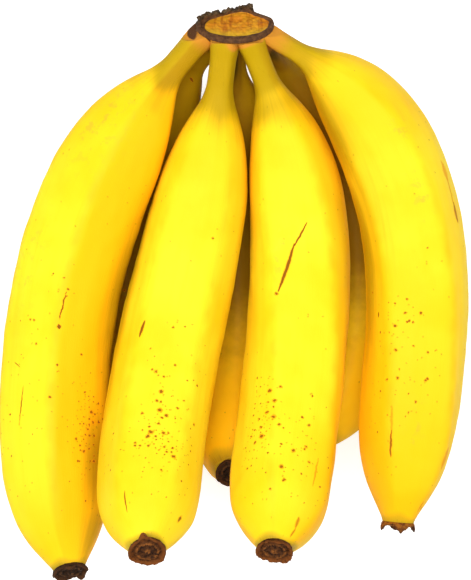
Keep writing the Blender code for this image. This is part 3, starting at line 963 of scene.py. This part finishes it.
def make_crown_material():
    """The cut stalk: orange to tan flesh with darker fibre streaks and a green tinge at its near
    edge, inside a smooth brown band and a torn lip of nearly black and brown bark."""
    material, tree, shader = new_material("cut crown")
    where = places_in_mm(tree)
    cloud = noise(tree, where, 0.22, 3.0)
    flesh = tinted(tree, CUT_ORANGE, CUT_TAN, cloud, 0.38, 0.62)
    streaks = noise(tree, vector(tree, "MULTIPLY", where, (0.55, 0.10, 0.10)), 1.0, 3.0, 0.6)
    flesh = tinted(tree, flesh, CUT_RUST, streaks, 0.50, 0.66, 0.65)
    flesh = mix(tree, product(tree, attribute(tree, "near"), 0.60), flesh, CUT_GREEN)
    scores = noise(tree, vector(tree, "MULTIPLY", where, (0.30, 1.5, 1.5)), 1.0, 3.0, 0.6)
    flesh = tinted(tree, flesh, CUT_DARK, scores, 0.62, 0.74, 0.75)
    grain = noise(tree, where, 0.8, 5.0, 0.65)
    band = tinted(tree, BAND_DARK, BAND_BROWN, grain, 0.35, 0.70)
    crust = tinted(tree, CRUST_DARK, CRUST_BROWN, grain, 0.35, 0.75)
    torn = attribute(tree, "torn")
    bark = tinted(tree, band, crust, torn, 0.35, 0.70)
    cut = ease(tree, calculate(tree, "MULTIPLY_ADD", grain, 0.3, attribute(tree, "cut")), 0.50, 0.80)
    colour = mix(tree, cut, bark, flesh)
    fill(tree, shader, {"Base Color": colour, "Roughness": 0.60, "Specular IOR Level": 0.15})
    coarse = calculate(tree, "MAXIMUM", torn, cut)
    relief = product(tree, grain, calculate(tree, "MULTIPLY_ADD", coarse, 0.8, 0.2))
    relief = calculate(tree, "MULTIPLY_ADD", scores, 0.5, relief)
    fill(tree, shader, {"Normal": bump(tree, relief, 0.4 * MM, 0.5)})
    return material


# The photograph's frame, 471 by 580 pixels, spans this many metres a pixel at a plane through the
# hand's middle. The camera looks straight down from this far above that plane.
FRAME_HEIGHT = 580
METRES_A_PIXEL = 0.35 * MM
PLANE_HEIGHT = 0.076
CAMERA_DISTANCE = 0.80
CAMERA_X = 0.0003
CAMERA_Y = 0.0020
SENSOR = 36.0

FLOOR_HALF = 3.0
FLOOR_DROP = 0.0002  # how far the floor lies below the hand, so that the two never flicker
FLOOR_GREY = 0.72
FLOOR_GLOW = 0.55
BACKDROP_LIGHT = 0.24  # how strongly the backdrop lights the hand
BACKDROP_SEEN = 0.70  # how much brighter the camera sees it
# The lights: name, place, the point it is turned to, width (m) and power (W).
LIGHTS = [
    ("key light", (-0.13, 0.12, 1.28), (0, 0, 0), 1.15, 22.0),
    ("left light", (-0.95, -0.20, 0.70), (0, 0, 0.05), 0.60, 3.2),
    ("right light", (0.95, -0.20, 0.70), (0, 0, 0.05), 0.60, 3.6),
]


def add_camera():
    data = bpy.data.cameras.new("camera")
    data.sensor_width = SENSOR
    data.lens = SENSOR * CAMERA_DISTANCE / (FRAME_HEIGHT * METRES_A_PIXEL)
    data.clip_start = 0.01
    camera = new_object("camera", data)
    camera.location = (CAMERA_X, CAMERA_Y, PLANE_HEIGHT + CAMERA_DISTANCE)
    bpy.context.scene.camera = camera


def add_floor():
    """A plain white floor that the hand lies on. It glows a little, to the camera alone, so that
    shadows on it stay light and neutral."""
    material, tree, shader = new_material("white floor")
    fill(tree, shader, {"Base Color": (FLOOR_GREY, FLOOR_GREY, FLOOR_GREY, 1), "Roughness": 0.9})
    seen = add(tree, "ShaderNodeLightPath").outputs["Is Camera Ray"]
    glow = product(tree, seen, FLOOR_GLOW)
    fill(tree, shader, {"Emission Color": (1, 1, 1, 1), "Emission Strength": glow})
    mesh = bpy.data.meshes.new("floor")
    turns = [(-1, -1), (1, -1), (1, 1), (-1, 1)]
    corners = [(x * FLOOR_HALF, y * FLOOR_HALF, -FLOOR_DROP) for x, y in turns]
    mesh.from_pydata(corners, [], [(0, 1, 2, 3)])
    mesh.materials.append(material)
    floor = new_object("floor", mesh)


def add_light(name, place_at, aim, size, power):
    """A square soft light, turned so that it shines from its place towards aim."""
    data = bpy.data.lights.new(name, "AREA")
    data.size = size
    data.energy = power
    light = new_object(name, data)
    light.location = place_at
    towards = unit(np.array(aim, float) - np.array(place_at, float))
    pitch = math.acos(-towards[2])
    heading = math.atan2(-towards[0], towards[1])
    light.rotation_euler = (pitch, 0, heading)


def add_studio():
    """A white backdrop, dimmer as a light than it looks, a wide key light and two side lights."""
    world = bpy.data.worlds.new("studio")
    world.use_nodes = True
    tree = world.node_tree
    backdrop = tree.nodes["Background"]
    backdrop.inputs["Color"].default_value = (1, 1, 1, 1)
    seen = add(tree, "ShaderNodeLightPath").outputs["Is Camera Ray"]
    strength = calculate(tree, "MULTIPLY_ADD", seen, BACKDROP_SEEN, BACKDROP_LIGHT)
    tree.links.new(strength, backdrop.inputs["Strength"])
    bpy.context.scene.world = world
    for light in LIGHTS:
        add_light(*light)
    bpy.context.scene.view_settings.view_transform = "Standard"


def main():
    peel_group = make_peel_group()
    scratch_group = make_scratch_group()
    spot_group = make_spot_group()
    dried = {finish: make_dried_material(finish) for finish in DRIED_FINISHES}
    add_crown(make_crown_material())
    for fruit in FRUITS:
        add_peel(fruit, make_peel_material(fruit, peel_group, scratch_group, spot_group))
        add_blossom_end(fruit, dried[DRIED_ENDS[fruit.name].finish])
    add_floor()
    add_camera()
    add_studio()


main()
